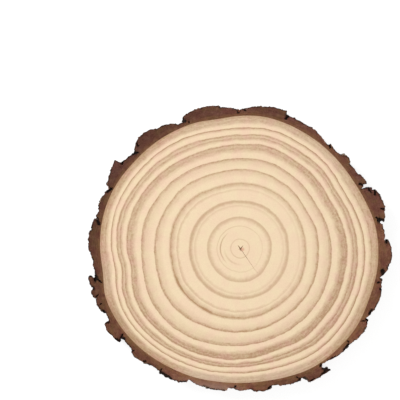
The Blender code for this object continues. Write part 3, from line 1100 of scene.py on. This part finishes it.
def bark_cut_finish():
    finish = Finish("bark_cut", 0.85, 0.12)
    place = finish.place()
    direction, distance = around_pith(finish, place)
    depth = finish.attribute("depth")
    rim = finish.attribute("rim")
    mauve = finish.attribute("mauve")
    hollow = finish.attribute("hollow")
    lines = streaks(finish, direction, 14, distance, 1.3)
    mottle = finish.noise(place, 0.26, 3, 0.6)
    fine = finish.noise(place, 1.2, 3, 0.65)

    outwards = finish.ramp(depth, 0.2, 3.5)
    colour = finish.mix(outwards, screen_colour(135, 92, 62), screen_colour(122, 78, 57))
    reddish = finish.times(mauve, finish.ramp(depth, 1.0, 4.5))
    reddish = finish.times(reddish, finish.ramp(mottle, 0.35, 0.6, 0.35, 1))
    colour = finish.mix(reddish, colour, screen_colour(124, 78, 72))
    drift = finish.noise(finish.vector("ADD", place, (0, 70, 0)), 1 / 7, 2)
    colour = finish.tint(colour, drift, 0.52, 0.62, 0.5, (126, 94, 58))
    colour = finish.tint(colour, drift, 0.46, 0.36, 0.6, (112, 62, 54))
    colour = finish.tint(colour, lines, 0.4, 0.68, 0.55, (80, 48, 34))
    colour = finish.tint(colour, mottle, 0.52, 0.72, 0.5, (146, 106, 82))
    colour = finish.tint(colour, fine, 0.52, 0.75, 0.55, (64, 42, 33))
    colour = finish.tint(colour, fine, 0.42, 0.25, 0.4, (156, 118, 92))
    tone = finish.math("POWER", finish.attribute("tone"), finish.ramp(depth, 0, 5, 0.5, 1.15))
    colour = finish.mix(1.0, colour, grey(finish, tone), "MULTIPLY")
    pale = finish.ramp(tone, 1.15, 1.7, 0, 0.7)
    colour = finish.mix(pale, colour, screen_colour(142, 115, 100))
    # Painted shade: a near-black band along the outer rim, up to 1.5 mm wide where the mottle is low.
    edge = finish.math("DIVIDE", rim, finish.ramp(mottle, 0.45, 0.62, 1.5, 0.2))
    edge = finish.math("SUBTRACT", 1.0, edge, clamp=True)
    edge = finish.times(edge, finish.ramp(mottle, 0.62, 0.45, 0, 0.85))
    # Painted shade in the hollows and chips joins the rim's, and both are mixed in near-black.
    dark = finish.math("MAXIMUM", edge, finish.ramp(hollow, 0.15, 0.75, 0, 0.96))
    colour = finish.mix(dark, colour, screen_colour(27, 18, 15))
    finish.feed(finish.shader.inputs["Base Color"], colour)
    height = finish.math("ADD", finish.times(lines, 0.5), finish.times(fine, 0.5))
    finish.bump(height, 0.3)
    finish.feed(finish.shader.inputs["Roughness"], finish.ramp(fine, 0.3, 0.7, 0.78, 0.92))
    return finish.material


def bark_side_finish():
    finish = Finish("bark_side", 0.92, 0.15)
    place = finish.place()
    flake = finish.attribute("flake")
    crack = finish.attribute("crack")
    furrow = finish.attribute("furrow")
    plate = finish.attribute("plate")
    upright = finish.vector("MULTIPLY", place, (1, 1, 0.14))
    broad = finish.noise(finish.vector("MULTIPLY", place, (1, 1, 0.3)), 1 / 12, 2)
    streak = finish.noise(upright, 0.55, 3, 0.65)
    sliver = finish.noise(upright, 1.5, 2, 0.6)
    fine = finish.noise(place, 1.3, 3, 0.7)

    colour = finish.mix(plate, screen_colour(98, 72, 58), screen_colour(134, 112, 96))
    colour = finish.tint(colour, broad, 0.5, 0.6, 0.85, (132, 92, 84))
    colour = finish.tint(colour, broad, 0.46, 0.38, 0.7, (96, 86, 52))
    colour = finish.tint(colour, flake, 0.45, 0.9, 0.6, (176, 157, 138))
    colour = finish.tint(colour, streak, 0.47, 0.6, 0.8, (48, 34, 27))
    colour = finish.tint(colour, streak, 0.41, 0.32, 0.6, (184, 163, 143))
    colour = finish.tint(colour, flake, 0.36, 0.1, 0.75, (100, 46, 28))
    colour = finish.tint(colour, sliver, 0.57, 0.66, 0.55, (190, 168, 146))
    colour = finish.tint(colour, sliver, 0.44, 0.34, 0.55, (36, 27, 22))
    colour = finish.tint(colour, fine, 0.55, 0.75, 0.5, (40, 30, 25))
    # Painted shade: near-black deep in the furrows and in the cracks between flakes.
    deep = finish.ramp(furrow, 0.12, 0.5, 0, 0.92)
    deep = finish.math("MAXIMUM", deep, finish.ramp(crack, 0.1, 0.8, 0, 0.85))
    colour = finish.mix(deep, colour, screen_colour(20, 14, 11))

    height = finish.add("SeparateXYZ", {0: place}, output="Z")
    below_cut = finish.ramp(height, SLICE_TOP - 0.6, SLICE_TOP - 3)
    strip = finish.times(finish.attribute("strip"), below_cut)
    strip = finish.math("ADD", strip, finish.ramp(streak, 0.3, 0.7, -0.12, 0.12))
    colour = finish.tint(colour, strip, 0.12, 0.3, 0.9, (92, 40, 25))
    light = finish.ramp(sliver, 0.35, 0.65)
    bare = finish.mix(light, screen_colour(134, 72, 46), screen_colour(158, 92, 62))
    colour = finish.mix(finish.ramp(strip, 0.45, 0.7, 0, 0.95), colour, bare)
    # A light orange-tan band along both sawn edges of the side: torn fibres, with a painted sheen.
    torn_edge_and_sheen = finish.ramp(height, SLICE_TOP - 0.8, SLICE_TOP - 0.3)
    torn_edge_and_sheen = finish.math("MAXIMUM", torn_edge_and_sheen, finish.ramp(height, 0.8, 0.3))
    torn_edge_and_sheen = finish.times(torn_edge_and_sheen, finish.ramp(fine, 0.35, 0.6, 0.85, 0.4))
    colour = finish.mix(torn_edge_and_sheen, colour, screen_colour(196, 142, 108))
    # Painted shade: near-black where the hollows and chips of the cut faces meet the side's edge.
    colour = finish.tint(colour, finish.attribute("hollow"), 0.1, 0.5, 0.9, (22, 15, 12))
    finish.feed(finish.shader.inputs["Base Color"], colour)
    relief = finish.math("ADD", streak, finish.times(sliver, 0.5))
    finish.bump(finish.math("ADD", relief, finish.times(fine, 0.5)), 0.6)
    finish.feed(finish.shader.inputs["Roughness"], finish.ramp(fine, 0.3, 0.7, 0.84, 0.98))
    return finish.material


def floor_finish():
    finish = Finish("floor", 0.9, 0)
    cloud = finish.noise(finish.place(), 1 / 160, 2)
    finish.feed(finish.shader.inputs["Base Color"], grey(finish, finish.ramp(cloud, 0.3, 0.7, 0.36, 0.38)))
    finish.shader.inputs["Emission Color"].default_value = (1, 1, 1, 1)
    finish.shader.inputs["Emission Strength"].default_value = 0.8
    return finish.material


# Studio

# The photograph's frame, and where the pith lies in it, in its own pixels.
FRAME_PIXELS = 400
PITH_PIXEL = (240.3, 248.2)
CAMERA_HEIGHT = 1500
SENSOR = 36
FLOOR_HALF = 2500
FLOOR_DROP = 0.2


def make_floor():
    mesh = bpy.data.meshes.new("floor")
    signs = ((-1, -1), (1, -1), (1, 1), (-1, 1))
    corners = [Vector((x * FLOOR_HALF, y * FLOOR_HALF, -FLOOR_DROP)) * MM for x, y in signs]
    mesh.from_pydata(corners, [], [(0, 1, 2, 3)])
    mesh.materials.append(floor_finish())
    floor = bpy.data.objects.new("floor", mesh)
    bpy.context.scene.collection.objects.link(floor)


def make_camera():
    """The camera looks straight down, from over the middle of the photograph's frame."""
    data = bpy.data.cameras.new("camera")
    data.sensor_width = SENSOR
    data.lens = SENSOR * CAMERA_HEIGHT / (FRAME_PIXELS * MM_PER_PIXEL)
    data.clip_end = 100
    camera = bpy.data.objects.new("camera", data)
    across = PITH[0] - (PITH_PIXEL[0] - FRAME_PIXELS / 2) * MM_PER_PIXEL
    up = PITH[1] + (PITH_PIXEL[1] - FRAME_PIXELS / 2) * MM_PER_PIXEL
    camera.location = Vector((across, up, SLICE_TOP + CAMERA_HEIGHT)) * MM
    bpy.context.scene.collection.objects.link(camera)
    bpy.context.scene.camera = camera


def area_light(name, place, size, power):
    """A round lamp that faces the slice. Its place and size are in metres."""
    data = bpy.data.lights.new(name, "AREA")
    data.shape = "DISK"
    data.size = size
    data.energy = power
    light = bpy.data.objects.new(name, data)
    light.location = place
    light.rotation_mode = "QUATERNION"
    light.rotation_quaternion = Vector(place).to_track_quat("Z", "Y")
    bpy.context.scene.collection.objects.link(light)


def make_lights():
    world = bpy.data.worlds.new("studio")
    world.use_nodes = True
    world.node_tree.nodes["Background"].inputs["Color"].default_value = (1, 1, 1, 1)
    world.node_tree.nodes["Background"].inputs["Strength"].default_value = 0.47
    bpy.context.scene.world = world
    area_light("key", (-1.1, 0.9, 1.3), 1.0, 23)
    area_light("fill", (1.0, -0.8, 1.6), 1.4, 7.5)
    bpy.context.scene.view_settings.view_transform = "Standard"
    bpy.context.scene.view_settings.look = "None"


noise.seed_set(NOISE_SEED)
wood = make_wood(wood_finish())
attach(wood, "root")
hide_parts("wood_disc")

bark = make_bark(bark_cut_finish(), bark_side_finish())
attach(bark, "root")
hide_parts("bark_ring")

make_floor()
make_camera()
make_lights()
